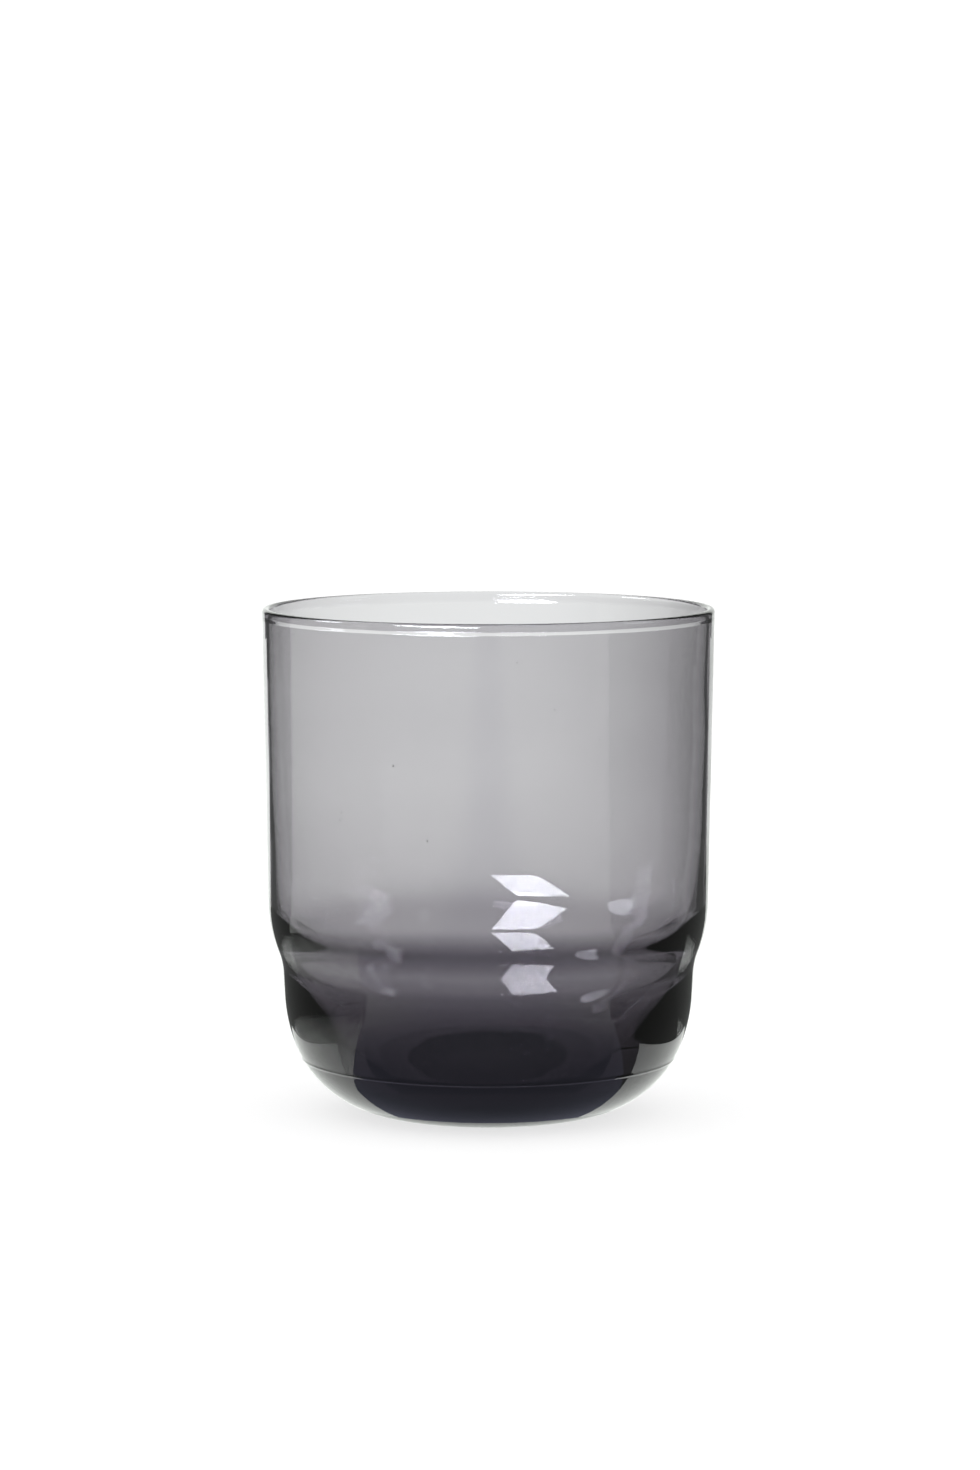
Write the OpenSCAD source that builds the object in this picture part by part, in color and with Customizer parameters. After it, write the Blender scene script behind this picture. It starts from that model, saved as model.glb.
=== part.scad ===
// Stackable mouth-blown whiskey tumbler: one seamless piece of smoke-tinted glass.
// A tall, almost straight cup stands on a narrower rounded bowl with a heavy base.
// The rounded shoulder between them rests on the rim of the tumbler below it in a stack.
// The origin is the centre of the foot, on the table. +Z is up. Millimetres and degrees.

/* [Overall] */
// Diameter of the rim, the widest part
rim_d = 80; // [76:0.5:90]
// Height from the table to the top of the rim
height = 90; // [80:0.5:110]

/* [Cup wall] */
// Thickness of the cup's wall
cup_wall = 1.2; // [1:0.05:1.3]
// Lean of the cup's wall, so that it narrows downward
cup_lean = 1.07; // [0.5:0.01:2]

/* [Rim] */
// Thickness of the rim, a full round bead that bulges inward of the cup's wall
rim_lip = 1.4; // [1.4:0.1:2]
// Height of the even part of the rim under the bead
lip_h = 0.6; // [0.3:0.1:1.5]
// Lean of the slope that eases the rim into the wall
lip_lean = 16; // [12:1:24]
// Radius of the two bends of that slope
lip_r = 1; // [0.2:0.1:1.2]

/* [Shoulder] */
// Radius of the rounded shoulder under the cup
shoulder_r = 24.6; // [15:0.2:26]
// Steepest lean of the outside under the shoulder
shoulder_lean = 21.1; // [12:0.1:26]
// Radius of the hollow curve that leads from the shoulder into the bowl
waist_r = 12.7; // [8:0.1:16]

/* [Bowl] */
// Lean of the outside of the bowl's short straight wall
bowl_lean = 3.7; // [1:0.1:6]
// Length of that straight wall
bowl_wall = 4.1; // [2:0.1:7]
// Radius of the bowl's side below it
bowl_side_r = 29.8; // [20:0.2:32]
// Lean at which the side turns into the heel
heel_lean = 21.5; // [15:0.5:30]
// Radius of the heel, which runs down into the foot
heel_r = 19.4; // [16:0.1:20]

/* [Inside] */
// Height of the middle of the inside floor above the table
floor_z = 4.4; // [4:0.1:6]
// Radius of the long inward sweep by which the lower part of the cup's wall thickens
thicken_r = 1360; // [1100:20:1600]
// Lean of the inside at the end of that sweep
thicken_lean = 2.3; // [2.1:0.05:2.5]
// Radius of the rounded shoulder on the inside
inner_shoulder_r = 11.2; // [9:0.2:12]
// Steepest lean of the inside under the shoulder
inner_shoulder_lean = 29; // [26:0.5:31]
// Radius of the hollow curve that leads into the inside of the bowl
inner_waist_r = 18.5; // [16:0.5:20]
// Lean of the inside of the bowl under that curve
inner_bowl_lean = 7.6; // [6:0.2:9]
// Length of the inside of the bowl's short straight wall
inner_bowl_wall = 0.2; // [0.1:0.1:1]
// Radius of the inside of the bowl's side
inner_side_r = 29.4; // [27:0.2:31]
// Lean at which that side turns into the inner heel
inner_heel_lean = 39.2; // [37:0.1:42]
// Radius of the rounded inner heel
inner_heel_r = 13.2; // [12:0.1:15]
// Lean at which the inner heel meets the dished floor, where 90 is level
floor_lean = 75; // [73:0.5:78]

/* [Foot] */
// Width of the flat ring that stands on the table
foot_ring_w = 0.8; // [0.6:0.1:4]
// Depth of the hollow inside that ring
punt_depth = 0.8; // [0.3:0.1:1.5]

/* [Mould seam] */
// Height of the seam, a faint raised line where the mould's base plate met its sides
seam_z = 10; // [8:0.5:12]
// How far the seam stands out
seam_proud = 0.12; // [0.05:0.01:0.2]
// How wide the seam is
seam_w = 0.6; // [0.4:0.1:1]

/* [Hidden] */
glass_tint = [0.42, 0.42, 0.45, 0.6];
level = 90; // the lean of a surface that has turned level
arc_step = 3; // a round turn has a point at least every 3 degrees

bead_r = rim_lip / 2;
bead = [rim_d / 2 - bead_r, height - bead_r];

// A side of the glass is a run of turns from the rim down, drawn in the plane [radius, height].
// Where the side leans a degrees inward, down(a) is its direction and out(a) its outward normal.
function down(a) = [-sin(a), -cos(a)];
function out(a) = [cos(a), -sin(a)];

// A turn is [radius, lean where it ends, length of the straight stretch after it].
// A hollow turn has a negative radius.
outer_turns = [
    [shoulder_r, shoulder_lean, 0],
    [-waist_r, bowl_lean, bowl_wall],
    [bowl_side_r, heel_lean, 0],
    [heel_r, level, 0],
];
inner_turns = [
    [thicken_r, thicken_lean, 0],
    [inner_shoulder_r, inner_shoulder_lean, 0],
    [-inner_waist_r, inner_bowl_lean, inner_bowl_wall],
    [inner_side_r, inner_heel_lean, 0],
    [inner_heel_r, floor_lean, 0],
];
// Under the rim the inside slopes outward by lip_ease from the wall's own direction, over
// lip_slope, until the glass has thinned from rim_lip to cup_wall.
lip_ease = cup_lean + lip_lean;
lip_slope = (rim_lip - cup_wall - 2 * lip_r * (1 - cos(lip_ease))) / sin(lip_ease);
lip_turns = [
    [-lip_r, -lip_lean, lip_slope],
    [lip_r, cup_lean, 0],
];

// The step from the start of turn i to the start of the next one, and along the whole run
function step(turns, lean, i) =
    turns[i][0] * (out(turns[i][1]) - out(lean)) + turns[i][2] * down(turns[i][1]);
function run(turns, lean, i = 0) =
    i == len(turns) ? [0, 0] : step(turns, lean, i) + run(turns, turns[i][1], i + 1);

// Points along an arc whose outward normal turns from one lean to another
function arc(middle, r, from, to) =
    let (count = ceil(abs(to - from) / arc_step))
    [for (i = [0 : count]) middle + r * out(from + (to - from) * i / count)];
// Points along a run of turns that starts at p
function points(p, turns, lean, i = 0) =
    i == len(turns) ? [] :
    concat(
        arc(p - turns[i][0] * out(lean), turns[i][0], lean, turns[i][1]),
        points(p + step(turns, lean, i), turns, turns[i][1], i + 1)
    );

// Outside: the cup's wall is as long as it takes to bring the foot down to the table.
outer_top = bead + bead_r * out(cup_lean);
outer_run = outer_top + run(outer_turns, cup_lean);
outer_wall = outer_run[1] / cos(cup_lean);
outer_side = points(outer_top + outer_wall * down(cup_lean), outer_turns, cup_lean);
foot_r = outer_run[0] + outer_wall * down(cup_lean)[0];

// Inside: the dished floor falls dish_fall for each millimetre of its radius, and the wall
// is as long as it takes to bring its middle down to floor_z.
lip_top = bead - bead_r * out(cup_lean);
lip_foot = lip_top + lip_h * down(cup_lean);
inner_top = lip_foot + run(lip_turns, cup_lean);
inner_run = inner_top + run(inner_turns, cup_lean);
dish_fall = (1 - sin(floor_lean)) / cos(floor_lean);
inner_wall = (inner_run[1] - dish_fall * inner_run[0] - floor_z)
    / (cos(cup_lean) - dish_fall * sin(cup_lean));
dish_edge = inner_run + inner_wall * down(cup_lean);
dish = [dish_edge[0] / cos(floor_lean), level, 0];
inner_side = concat(
    points(lip_foot, lip_turns, cup_lean),
    points(inner_top + inner_wall * down(cup_lean), concat(inner_turns, [dish]), cup_lean)
);

// Underside: a shallow dome inside the foot ring
punt_edge_r = foot_r - foot_ring_w;
punt_r = (punt_edge_r ^ 2 + punt_depth ^ 2) / (2 * punt_depth);
punt = arc([0, punt_depth - punt_r], punt_r, -acos(punt_edge_r / punt_r), -level);

// Rim: a full round bead, over the top from the inside to the outside
rim = arc(bead, bead_r, -180 + cup_lean, cup_lean);

// The seam is a low round bead on the heel.
seam_bead_r = ((seam_w / 2) ^ 2 + seam_proud ^ 2) / (2 * seam_proud);
seam_lean = asin(1 - seam_z / heel_r);
seam_at = [foot_r, heel_r] + (heel_r + seam_proud - seam_bead_r) * out(seam_lean);

function reverse(list) = [for (i = [len(list) - 1 : -1 : 0]) list[i]];

module glass_body() {
    color(glass_tint) {
        rotate_extrude($fn = 180) polygon(concat(rim, outer_side, punt, reverse(inner_side)));
        rotate_extrude($fn = 180) translate(seam_at) circle(r = seam_bead_r, $fn = 24);
    }
}

glass_body();
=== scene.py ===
"""Whiskey tumbler: the visual model of a mouth-blown, smoke-tinted glass that stacks.

One lathe-turned glass body, with the mould seam, ripples and seed bubbles of hand-made
glass, stands on a pale floor. Glowing and dark cards that only the glass sees give it its
light centre, dark edges and highlights. They and their light are fixed in the world.
Metres, +Z up, origin at the centre of the foot.
"""
import random
from math import asin, ceil, cos, degrees, pi, radians, sin

import bpy
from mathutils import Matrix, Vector


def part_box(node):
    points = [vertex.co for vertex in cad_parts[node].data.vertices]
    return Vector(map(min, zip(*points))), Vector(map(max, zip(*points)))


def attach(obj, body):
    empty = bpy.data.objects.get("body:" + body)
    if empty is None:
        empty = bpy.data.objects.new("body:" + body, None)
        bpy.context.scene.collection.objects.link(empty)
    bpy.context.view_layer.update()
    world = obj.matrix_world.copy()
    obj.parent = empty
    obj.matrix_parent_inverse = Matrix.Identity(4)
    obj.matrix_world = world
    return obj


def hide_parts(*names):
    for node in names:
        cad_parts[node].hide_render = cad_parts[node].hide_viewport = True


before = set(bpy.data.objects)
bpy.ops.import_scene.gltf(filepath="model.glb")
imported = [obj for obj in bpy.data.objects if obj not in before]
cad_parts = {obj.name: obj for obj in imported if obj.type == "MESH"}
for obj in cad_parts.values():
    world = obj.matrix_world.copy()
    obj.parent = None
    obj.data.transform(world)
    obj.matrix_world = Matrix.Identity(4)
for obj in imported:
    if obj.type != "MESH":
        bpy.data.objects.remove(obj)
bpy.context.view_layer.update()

MM = 0.001
LEVEL = 90.0
chance = random.Random(11)

# ---------------------------------------------------------------- the glass's outline
# Millimetres and degrees, in the plane (radius, height), as the design has them.
node_low, node_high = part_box("glass_body")
RIM_D = 2 * min(-node_low.x, node_high.x) / MM
HEIGHT = (node_high.z - node_low.z) / MM
CUP_WALL, CUP_LEAN = 1.2, 1.07
RIM_LIP, LIP_H, LIP_LEAN, LIP_R = 1.4, 0.6, 16.0, 1.0
FLOOR_Z, FLOOR_LEAN = 4.4, 75.0
FOOT_RING_W, PUNT_DEPTH = 0.8, 0.8
SEAM_Z, SEAM_PROUD, SEAM_W = 10.0, 0.12, 0.6
# A turn is (radius, lean where it ends, length of the straight stretch after it).
HEEL_R = 19.4
OUTER_TURNS = [(24.6, 21.1, 0.0), (-12.7, 3.7, 4.1), (29.8, 21.5, 0.0), (HEEL_R, LEVEL, 0.0)]
INNER_TURNS = [
    (1360.0, 2.3, 0.0), (11.2, 29.0, 0.0), (-18.5, 7.6, 0.2), (29.4, 39.2, 0.0),
    (13.2, FLOOR_LEAN, 0.0),
]
ARC_STEP, BEAD_STEP = 1.5, 9.0  # most degrees between the points of an arc, and of the rim
WALL_STEP = 1.3  # most millimetres between points
ROUND_STEPS = 288  # points round the glass
SEAM_STEPS, SEAM_CLEAR = 8, 0.1  # points to either side of the ridge, and the gap to the rest
SAME_POINT = 0.004  # points nearer than this are one

# What a hand-made glass has besides, in millimetres
BORE_OFFSET = 0.10  # the bore stands this far off the axis, toward -X
WAVES = 7
OUTER_WAVE, INNER_WAVE = 0.006, 0.010  # height of each wave
WAVE_TURNS, WAVE_LENGTHS = (1, 5), (14, 60)  # times round, and height per wave
RIM_STILL, RIM_FADE, AXIS_FADE, FOOT_FADE = 2, 10, 15, 5  # where the ripples die away
SEEDS = 12
CUP_FROM = 45  # the cup's wall stands above this height
SEED_HEIGHTS, SEED_SIZES = (48, 84), (0.08, 0.17)
SEED_OFF_MIDDLE = 0.15  # most that a bubble stands off the middle of the wall
SEED_STRETCH = 1.6
SEED_AROUND, SEED_UP = 12, 8  # faces round a bubble, and from its top to its bottom


def down(lean):
    """The direction of a side that leans inward by so many degrees."""
    return Vector((-sin(radians(lean)), -cos(radians(lean))))


def out(lean):
    """Its outward normal."""
    return Vector((cos(radians(lean)), -sin(radians(lean))))


def arc(middle, r, first, last, step=ARC_STEP):
    """Points of an arc, each with the lean of its normal."""
    count = max(2, ceil(abs(last - first) / min(step, degrees(WALL_STEP / abs(r)))))
    leans = [first + (last - first) * i / count for i in range(count + 1)]
    return [(middle + r * out(lean), lean) for lean in leans]


def straight(start, lean, length):
    """Points of a straight stretch, without its ends."""
    count = ceil(length / WALL_STEP)
    return [(start + down(lean) * (length * i / count), lean) for i in range(1, count)]


def side(start, lean, turns):
    """Points of a run of turns, and the point where it ends."""
    points = []
    for r, last, length in turns:
        middle = start - r * out(lean)
        points += arc(middle, r, lean, last)
        start = middle + r * out(last)
        points += straight(start, last, length)
        start, lean = start + length * down(last), last
    return points, start


def seam(outer, foot):
    """The outer side with the seam raised on its heel, as a smooth low ridge."""
    middle = Vector((foot.x, HEEL_R))
    seam_lean = degrees(asin(1 - SEAM_Z / HEEL_R))
    half = degrees(SEAM_W / HEEL_R)
    ridge = []
    for i in range(-SEAM_STEPS, SEAM_STEPS + 1):
        across = i / SEAM_STEPS
        rise = SEAM_PROUD * (0.5 + 0.5 * cos(pi * across)) ** 2
        lean = seam_lean + half * across
        ridge.append((middle + (HEEL_R + rise) * out(lean), lean))
    above = [(p, lean) for p, lean in outer if p.y > ridge[0][0].y + SEAM_CLEAR]
    below = [(p, lean) for p, lean in outer if p.y < ridge[-1][0].y - SEAM_CLEAR]
    return above + ridge + below


def outline():
    """The glass's section, from the middle of the inside floor, up and over the rim and
    down to the middle of the underside: (point, lean, name of the surface)."""
    bead_r = RIM_LIP / 2
    bead = Vector((RIM_D / 2 - bead_r, HEIGHT - bead_r))

    outer_top = bead + bead_r * out(CUP_LEAN)
    wall = side(outer_top, CUP_LEAN, OUTER_TURNS)[1].y / cos(radians(CUP_LEAN))
    outer, foot = side(outer_top + wall * down(CUP_LEAN), CUP_LEAN, OUTER_TURNS)
    outer = straight(outer_top, CUP_LEAN, wall) + seam(outer, foot)

    ease = radians(CUP_LEAN + LIP_LEAN)
    slope = (RIM_LIP - CUP_WALL - 2 * LIP_R * (1 - cos(ease))) / sin(ease)
    lip_foot = bead - bead_r * out(CUP_LEAN) + LIP_H * down(CUP_LEAN)
    lip, inner_top = side(lip_foot, CUP_LEAN, [(-LIP_R, -LIP_LEAN, slope), (LIP_R, CUP_LEAN, 0.0)])
    end = side(inner_top, CUP_LEAN, INNER_TURNS)[1]
    fall = (1 - sin(radians(FLOOR_LEAN))) / cos(radians(FLOOR_LEAN))
    wall = (end.y - fall * end.x - FLOOR_Z) / (
        cos(radians(CUP_LEAN)) - fall * sin(radians(CUP_LEAN))
    )
    inner_shoulder = inner_top + wall * down(CUP_LEAN)
    dish_edge = side(inner_shoulder, CUP_LEAN, INNER_TURNS)[1]
    dish = (dish_edge.x / cos(radians(FLOOR_LEAN)), LEVEL, 0.0)
    inner = side(inner_shoulder, CUP_LEAN, INNER_TURNS + [dish])[0]
    inner = lip + straight(inner_top, CUP_LEAN, wall) + inner

    punt_edge = foot.x - FOOT_RING_W
    punt_r = (punt_edge**2 + PUNT_DEPTH**2) / (2 * PUNT_DEPTH)
    edge_lean = degrees(asin(punt_edge / punt_r)) - LEVEL
    punt = arc(Vector((0, PUNT_DEPTH - punt_r)), punt_r, edge_lean, -LEVEL)
    rim = arc(bead, bead_r, CUP_LEAN - 180, CUP_LEAN, step=BEAD_STEP)
    return (
        [(p, lean, "inner") for p, lean in reversed(inner)]
        + [(p, lean, "rim") for p, lean in rim]
        + [(p, lean, "outer") for p, lean in outer]
        + [(p, lean, "foot") for p, lean in punt]
    )


def waves():
    """Ripples as (times round, height per wave, start)."""
    return [
        (
            chance.randint(*WAVE_TURNS),
            chance.choice((-1, 1)) * chance.uniform(*WAVE_LENGTHS),
            chance.uniform(0, 2 * pi),
        )
        for _ in range(WAVES)
    ]


outer_waves, inner_waves = waves(), waves()


def ripple(surface, turn, r, z):
    """How far a surface is moved outward there: nothing at the rim, foot and axis."""
    if surface in ("rim", "foot"):
        return 0.0
    under_rim = max(0, (HEIGHT - z - RIM_STILL) / RIM_FADE)
    fade = min(1, under_rim) * min(1, r / AXIS_FADE) * min(1, z / FOOT_FADE)
    set_of_waves = outer_waves if surface == "outer" else inner_waves
    total = sum(cos(n * turn + 2 * pi * z / length + a) for n, length, a in set_of_waves)
    if surface == "outer":
        return fade * OUTER_WAVE * total
    return fade * (INNER_WAVE * total - BORE_OFFSET * cos(turn))


def lathe(points, steps):
    """Verts and faces of a turned body, from an outline that starts and ends on the axis."""
    kept = [points[0]]
    for p in points[1:]:
        if (p[0] - kept[-1][0]).length > SAME_POINT:
            kept.append(p)
    rings = kept[1:-1]
    verts = [(0, 0, kept[0][0].y * MM)]
    for p, lean, surface in rings:
        for k in range(steps):
            turn = 2 * pi * k / steps
            q = p + ripple(surface, turn, p.x, p.y) * out(lean)
            verts.append((q.x * cos(turn) * MM, q.x * sin(turn) * MM, q.y * MM))
    verts.append((0, 0, kept[-1][0].y * MM))
    faces = []
    for k in range(steps):
        faces.append((0, 1 + k, 1 + (k + 1) % steps))
    for i in range(len(rings) - 1):
        low, high = 1 + i * steps, 1 + (i + 1) * steps
        for k in range(steps):
            n = (k + 1) % steps
            faces.append((low + k, high + k, high + n, low + n))
    top = 1 + (len(rings) - 1) * steps
    for k in range(steps):
        faces.append((top + k, len(verts) - 1, top + (k + 1) % steps))
    return verts, faces


def seeds(section):
    """Verts and faces of small closed bubbles in the wall of the cup, drawn out upward."""
    walls = {}
    for p, _, surface in section:
        if surface in ("inner", "outer") and p.y > CUP_FROM:
            walls.setdefault(surface, []).append(p)
    verts, faces = [], []
    for _ in range(SEEDS):
        z = chance.uniform(*SEED_HEIGHTS)
        turn = chance.uniform(0, 2 * pi)
        sides = [min(wall, key=lambda p: abs(p.y - z)).x for wall in walls.values()]
        r = sum(sides) / 2 + chance.uniform(-SEED_OFF_MIDDLE, SEED_OFF_MIDDLE)
        size = chance.uniform(*SEED_SIZES)
        centre = Vector((r * cos(turn), r * sin(turn), z))
        first = len(verts)
        for i in range(SEED_UP + 1):
            tilt = pi * i / SEED_UP
            for k in range(SEED_AROUND if 0 < i < SEED_UP else 1):
                a = 2 * pi * k / SEED_AROUND
                point = Vector((sin(tilt) * cos(a), sin(tilt) * sin(a), SEED_STRETCH * cos(tilt)))
                verts.append(tuple((centre + size * point) * MM))

        def at(i, k):
            return first + 1 + (i - 1) * SEED_AROUND + k % SEED_AROUND

        last = len(verts) - 1
        for k in range(SEED_AROUND):
            faces.append((first, at(1, k + 1), at(1, k)))
            faces.append((last, at(SEED_UP - 1, k), at(SEED_UP - 1, k + 1)))
            for i in range(1, SEED_UP - 1):
                faces.append((at(i, k), at(i, k + 1), at(i + 1, k + 1), at(i + 1, k)))
    return verts, faces


def add_mesh(name, verts, faces, material):
    """An object in the scene, made from a mesh with one material."""
    mesh = bpy.data.meshes.new(name)
    mesh.from_pydata(verts, [], faces)
    mesh.update()
    mesh.materials.append(material)
    obj = bpy.data.objects.new(name, mesh)
    bpy.context.scene.collection.objects.link(obj)
    return obj


# ---------------------------------------------------------------- the glass's material
IOR = 1.51
TINT, TINT_DENSITY = (0.305, 0.274, 0.325), 475.0  # absorbs density * (1 - tint) per metre
CORD_SCALE, CORD_STRETCH, CORD_HEIGHT = 420.0, 0.06, 0.000003
RING_SCALE, RING_DISTORTION = 110.0, 9.0
RING_SHARE = 0.3  # the rings' height as a share of the cords'
SMEAR_SCALE, SMEAR_RANGE, SMEAR_ROUGHNESS = 70.0, (0.60, 0.85), 0.012


def wire(nodes, links, kind, *values, **settings):
    """A new node with its first inputs set, or linked where a value is a socket."""
    node = nodes.new(kind)
    for key, value in settings.items():
        setattr(node, key, value)
    for socket, value in zip(node.inputs, values):
        if isinstance(value, bpy.types.NodeSocket):
            links.new(value, socket)
        else:
            socket.default_value = value
    return node.outputs[0]


def glass_material():
    """Clear glass with an even smoke tint, fine relief and faint smears."""
    material = bpy.data.materials.new("smoke_glass")
    material.use_nodes = True
    nodes, links = material.node_tree.nodes, material.node_tree.links
    shader = nodes["Principled BSDF"]
    shader.inputs["Base Color"].default_value = (1, 1, 1, 1)
    shader.inputs["Transmission Weight"].default_value = 1.0
    shader.inputs["Roughness"].default_value = 0.0
    shader.inputs["IOR"].default_value = IOR
    absorb = nodes.new("ShaderNodeVolumeAbsorption")
    absorb.inputs["Color"].default_value = (*TINT, 1)
    absorb.inputs["Density"].default_value = TINT_DENSITY
    links.new(absorb.outputs["Volume"], nodes["Material Output"].inputs["Volume"])

    # Fine cords, drawn out upward when the glass was blown, and rings left by its turning
    place = nodes.new("ShaderNodeTexCoord").outputs["Object"]
    upward = wire(nodes, links, "ShaderNodeMapping", place)
    upward.node.inputs["Scale"].default_value = (1, 1, CORD_STRETCH)
    cords = nodes.new("ShaderNodeTexNoise")
    cords.inputs["Scale"].default_value = CORD_SCALE
    cords.inputs["Detail"].default_value = 2.0
    links.new(upward, cords.inputs["Vector"])
    rings = nodes.new("ShaderNodeTexWave")
    rings.bands_direction = "Z"
    rings.inputs["Scale"].default_value = RING_SCALE
    rings.inputs["Distortion"].default_value = RING_DISTORTION
    rings.inputs["Detail"].default_value = 1.0
    rings.inputs["Detail Scale"].default_value = 0.35
    links.new(place, rings.inputs["Vector"])
    height = wire(
        nodes, links, "ShaderNodeMath", rings.outputs["Fac"], RING_SHARE, cords.outputs["Fac"],
        operation="MULTIPLY_ADD",
    )
    bump = nodes.new("ShaderNodeBump")
    bump.inputs["Strength"].default_value = 1.0
    bump.inputs["Distance"].default_value = CORD_HEIGHT
    links.new(height, bump.inputs["Height"])
    links.new(bump.outputs["Normal"], shader.inputs["Normal"])

    # Faint smears of touch
    smears = nodes.new("ShaderNodeTexNoise")
    smears.inputs["Scale"].default_value = SMEAR_SCALE
    smears.inputs["Detail"].default_value = 5.0
    links.new(place, smears.inputs["Vector"])
    dull = wire(
        nodes, links, "ShaderNodeMapRange", smears.outputs["Fac"], *SMEAR_RANGE, 0.0, SMEAR_ROUGHNESS
    )
    links.new(dull, shader.inputs["Roughness"])
    return material


section = outline()
body_verts, body_faces = lathe(section, ROUND_STEPS)
seed_verts, seed_faces = seeds(section)
offset = len(body_verts)
glass = add_mesh(
    "glass_body_visual",
    body_verts + seed_verts,
    body_faces + [tuple(v + offset for v in face) for face in seed_faces],
    glass_material(),
)
for polygon in glass.data.polygons:
    polygon.use_smooth = True
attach(glass, "root")
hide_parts("glass_body")

# ---------------------------------------------------------------- camera
LENS, CAMERA_AT = 125.05, (0.0003, -0.900, 0.15647)
CAMERA_DOWN = 5.66  # degrees below level

camera_data = bpy.data.cameras.new("camera")
camera_data.lens, camera_data.sensor_width = LENS, 36
camera_data.clip_start, camera_data.clip_end = 0.01, 20
camera = bpy.data.objects.new("camera", camera_data)
bpy.context.scene.collection.objects.link(camera)
camera.location = CAMERA_AT
camera.rotation_euler = (radians(LEVEL - CAMERA_DOWN), 0, 0)
bpy.context.scene.camera = camera

# ---------------------------------------------------------------- stage
# Headings are compass headings: 0 is straight behind the glass (+Y), 90 is +X.
BACK_HALF, SIDE_FROM, FRONT_FROM = 22.6, 62, 118  # where the upright cards meet
SIDE_FLOOR = BACK_HALF + 4  # where the floor's back card ends, wider than the upright one
HEADING_STEP = 3
DRUM_R, DRUM_H, DRUM_LOW = 1.0, 1.4, -0.01  # the drum of upright cards
FLOOR_R = 1.01

WHITE, COOL, LAMP_WHITE = (0.99, 1.02, 0.99), (0.90, 0.93, 1.20), (0.97, 1.02, 1.06)
BACK, DARK, LEFT, RIGHT = 1.27, 0.11, 0.7, 0.12  # strengths
FRONT, FRONT_FLOOR, FRONT_FLOOR_SIDES, CEILING = 0.22, 0.26, 0.7, 0.2
# The next two are strengths of painted shade: a dimmer disc round the foot, and the painted shadow
# under it.
FOOT_PENUMBRA, FOOT_SHADOW = 0.9, 0.08

# A fall is (sides, from, to, strength there, colour there), measured from the middle plane.
ONE_SIDE, BOTH_SIDES = "ADD", "ABSOLUTE"  # what is done to X first
BACK_FALL = (ONE_SIDE, 0.015, 0.12, 0.75 * BACK, WHITE)
FRONT_FALL = (BOTH_SIDES, 0.03, 0.14, FRONT_FLOOR_SIDES, WHITE)

# The floor's cards lie over each other, all just under the table.
LOUVRE_FLOOR, GROUND, PLINTH_AT, FOOT_PENUMBRA_AT, FOOT_AT = -0.00067, -0.0006, -0.0003, -0.0002, -0.0001
LOUVRE_GAP, LOUVRE_H, BLADE = 0.00025, 0.000067, 0.13  # between blades, their height, glow
LOUVRES_FROM, BACK_LOUVRES_TO, LEFT_LOUVRES_TO = 0.02, 0.4, 0.15
PLINTH_X, PLINTH_FRONT, PLINTH_BACK = 0.058, -0.0155, 0.064
FOOT_PENUMBRA_R, FOOT_SHADOW_R = 0.0225, 0.0162


def glow(name, strength, colour=WHITE, fall=None):
    """A glowing material, which a fall turns into another one toward +X or both sides."""
    material = bpy.data.materials.new(name)
    material.use_nodes = True
    nodes, links = material.node_tree.nodes, material.node_tree.links
    nodes.remove(nodes["Principled BSDF"])
    shine = wire(nodes, links, "ShaderNodeEmission", (*colour, 1), strength)
    if fall:
        sides, near, far, far_strength, far_colour = fall
        here = nodes.new("ShaderNodeNewGeometry").outputs["Position"]
        x = wire(nodes, links, "ShaderNodeSeparateXYZ", here)
        x = wire(nodes, links, "ShaderNodeMath", x, 0.0, operation=sides)
        share = wire(
            nodes, links, "ShaderNodeMapRange", x, near, far, 0.0, 1.0,
            interpolation_type="SMOOTHSTEP",
        )
        other = wire(nodes, links, "ShaderNodeEmission", (*far_colour, 1), far_strength)
        shine = wire(nodes, links, "ShaderNodeMixShader", share, shine, other)
    links.new(shine, nodes["Material Output"].inputs["Surface"])
    return material


def card(name, verts, faces, material):
    """A card that only the glass sees."""
    obj = add_mesh(name, verts, faces, material)
    obj.visible_camera = obj.visible_diffuse = obj.visible_shadow = False
    return obj


def compass(heading, r, z):
    """The point at a heading, a radius and a height."""
    return (r * sin(radians(heading)), r * cos(radians(heading)), z)


def headings(first, last):
    """Headings from first to last, at most HEADING_STEP apart."""
    count = max(1, ceil((last - first) / HEADING_STEP))
    return [first + (last - first) * i / count for i in range(count + 1)]


def band(name, first, last, start, end, material):
    """A card between two headings, from (radius, height) to (radius, height)."""
    verts = [compass(h, *rz) for h in headings(first, last) for rz in (start, end)]
    faces = [(i, i + 1, i + 3, i + 2) for i in range(0, len(verts) - 2, 2)]
    return card(name, verts, faces, material)


def upright(name, first, last, strength, colour=WHITE, fall=None):
    """A card that stands round the glass at DRUM_R."""
    material = glow(name, strength, colour, fall=fall)
    band(name, first, last, (DRUM_R, DRUM_LOW), (DRUM_R, DRUM_H), material)


def ground(name, first, last, r_in, r_out, strength, colour=WHITE, fall=None, z=GROUND):
    """A level card between two headings and two radii."""
    verts = [compass(h, r, z) for h in headings(first, last) for r in (r_in, r_out)]
    faces = [(i + 1, i + 3, i + 2, i) for i in range(0, len(verts) - 2, 2)]
    card(name, verts, faces, glow(name, strength, colour, fall))


def louvres(name, first, last, r_in, r_out, strength):
    """A lit floor under low upright blades, bright only to light that leaves it steeply."""
    ground(name, first, last, r_in, r_out, strength, z=LOUVRE_FLOOR)
    verts, faces = [], []
    for i in range(ceil((r_out - r_in) / LOUVRE_GAP) + 1):
        low = len(verts)
        verts += [
            compass(h, r_out - i * LOUVRE_GAP, z)
            for h in headings(first, last) for z in (LOUVRE_FLOOR, LOUVRE_FLOOR + LOUVRE_H)
        ]
        faces += [(k, k + 1, k + 3, k + 2) for k in range(low, len(verts) - 2, 2)]
    card(name + "_blades", verts, faces, glow(name + "_blades", BLADE))


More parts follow.
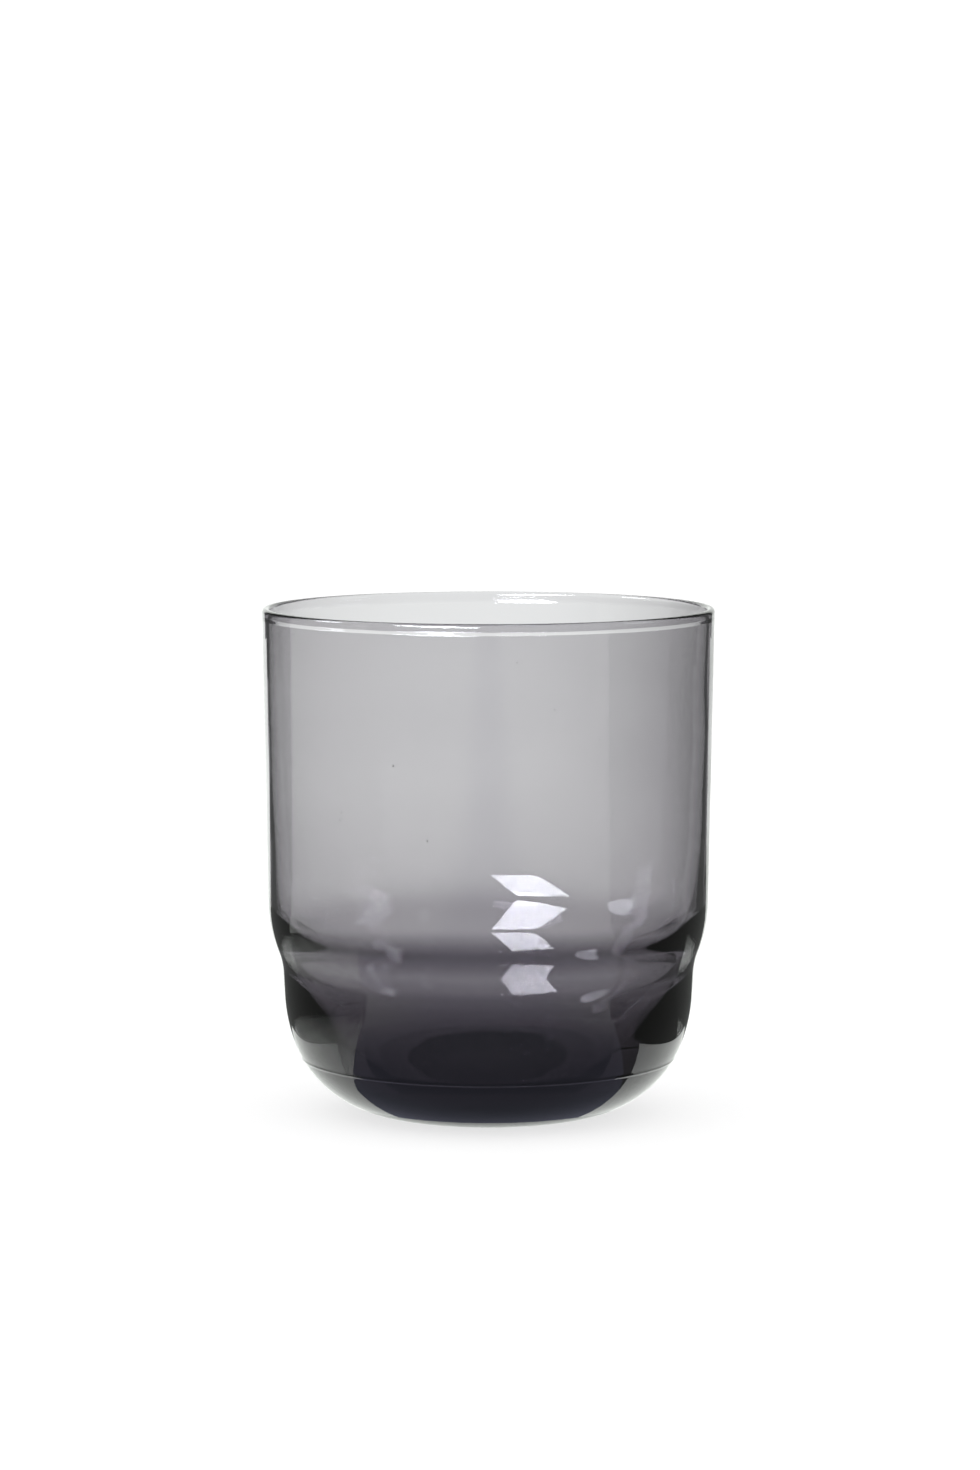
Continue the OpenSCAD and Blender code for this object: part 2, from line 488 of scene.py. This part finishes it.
upright("back", -BACK_HALF, BACK_HALF, BACK, fall=BACK_FALL)
upright("flag_left", -SIDE_FROM, -BACK_HALF, DARK)
upright("flag_right", BACK_HALF, SIDE_FROM, DARK)
upright("side_left", -FRONT_FROM, -SIDE_FROM, LEFT)
upright("side_right", SIDE_FROM, FRONT_FROM, RIGHT)
upright("front", FRONT_FROM, 360 - FRONT_FROM, FRONT, COOL)
band("ceiling", 0, 360, (0.0, DRUM_H), (DRUM_R, DRUM_H), glow("ceiling", CEILING, COOL))

ground("ground_back", -SIDE_FLOOR, SIDE_FLOOR, 0.0, FLOOR_R, BACK, fall=BACK_FALL)
for side_name, first, last in [("left", -SIDE_FROM, -SIDE_FLOOR), ("right", SIDE_FLOOR, SIDE_FROM)]:
    louvres(f"louvres_{side_name}_back", first, last, LOUVRES_FROM, BACK_LOUVRES_TO, 2 * BACK)
    ground(f"ground_{side_name}_back", first, last, BACK_LOUVRES_TO, FLOOR_R, DARK)
louvres("louvres_left", -FRONT_FROM, -SIDE_FROM, LOUVRES_FROM, LEFT_LOUVRES_TO, 2 * LEFT)
ground("ground_left", -FRONT_FROM, -SIDE_FROM, LEFT_LOUVRES_TO, FLOOR_R, LEFT)
ground("ground_right", SIDE_FROM, FRONT_FROM, 0.0, FLOOR_R, RIGHT)
ground(
    "ground_front", FRONT_FROM, 360 - FRONT_FROM, 0.0, FLOOR_R, FRONT_FLOOR, COOL, fall=FRONT_FALL
)

plinth_corners = [
    (-PLINTH_X, PLINTH_FRONT, PLINTH_AT), (PLINTH_X, PLINTH_FRONT, PLINTH_AT),
    (PLINTH_X, PLINTH_BACK, PLINTH_AT), (-PLINTH_X, PLINTH_BACK, PLINTH_AT),
]
card("plinth", plinth_corners, [(0, 1, 2, 3)], glow("plinth", BACK))
# A disc round the foot that glows less than the plinth under it: painted soft shade round the foot's
# painted shadow.
ground("foot_penumbra", 0, 360, 0.0, FOOT_PENUMBRA_R, FOOT_PENUMBRA, z=FOOT_PENUMBRA_AT)
# A dark disc under the foot: painted shadow of the foot on the floor that only the glass sees.
ground("foot_shadow", 0, 360, 0.0, FOOT_SHADOW_R, FOOT_SHADOW, z=FOOT_AT)


LAMP_DISTANCE, LAMP_AIM = 0.7, 0.04  # from a point on the axis, and that point's height
SOFTBOX, DISH, REFLECTOR = 36.0, 13.0, 1.6
DISH_AT, DISH_HALF, DISH_STEP = (97, 34), (10, 9), 15


def lamp(name, corners, strength):
    """A glowing card whose corners are (degrees left of straight in front, degrees up)."""
    verts = []
    for a, e in corners:
        a, e = radians(a), radians(e)
        toward = Vector((-sin(a) * cos(e), -cos(a) * cos(e), sin(e)))
        verts.append(tuple(toward * LAMP_DISTANCE + Vector((0, 0, LAMP_AIM))))
    card(name, verts, [tuple(range(len(verts)))], glow(name, strength, LAMP_WHITE))


lamp("softbox", [(2, 9.2), (28.5, 6.5), (56, 37.5), (22, 47)], SOFTBOX)
dish = [
    (DISH_AT[0] + DISH_HALF[0] * cos(radians(t)), DISH_AT[1] + DISH_HALF[1] * sin(radians(t)))
    for t in range(0, 360, DISH_STEP)
]
lamp("dish", dish, DISH)
lamp("reflector", [(-72, 10), (-92, 12), (-96, 38), (-70, 34)], REFLECTOR)

# The paper floor that the camera sees, and the room round it
PAPER, PAPER_GLOW, PAPER_HALF, ROOM = 0.35, 0.72, 3, 1.1

paper = bpy.data.materials.new("paper")
paper.use_nodes = True
sheet = paper.node_tree.nodes["Principled BSDF"]
sheet.inputs["Base Color"].default_value = (PAPER, PAPER, PAPER, 1)
sheet.inputs["Roughness"].default_value = 0.9
sheet.inputs["Specular IOR Level"].default_value = 0.0
sheet.inputs["Emission Color"].default_value = (1, 1, 1, 1)
sheet.inputs["Emission Strength"].default_value = PAPER_GLOW
paper_corners = [
    (x * PAPER_HALF, y * PAPER_HALF, 0) for x, y in [(-1, -1), (1, -1), (1, 1), (-1, 1)]
]
floor = add_mesh("floor", paper_corners, [(0, 1, 2, 3)], paper)
floor.visible_glossy = floor.visible_transmission = False

world = bpy.data.worlds.new("world")
world.use_nodes = True
world.node_tree.nodes["Background"].inputs["Color"].default_value = (1, 1, 1, 1)
world.node_tree.nodes["Background"].inputs["Strength"].default_value = ROOM
scene = bpy.context.scene
scene.world = world
scene.view_settings.view_transform = "Standard"
scene.cycles.max_bounces = scene.cycles.transmission_bounces = 20
scene.cycles.glossy_bounces = 12
scene.cycles.sample_clamp_indirect = 0
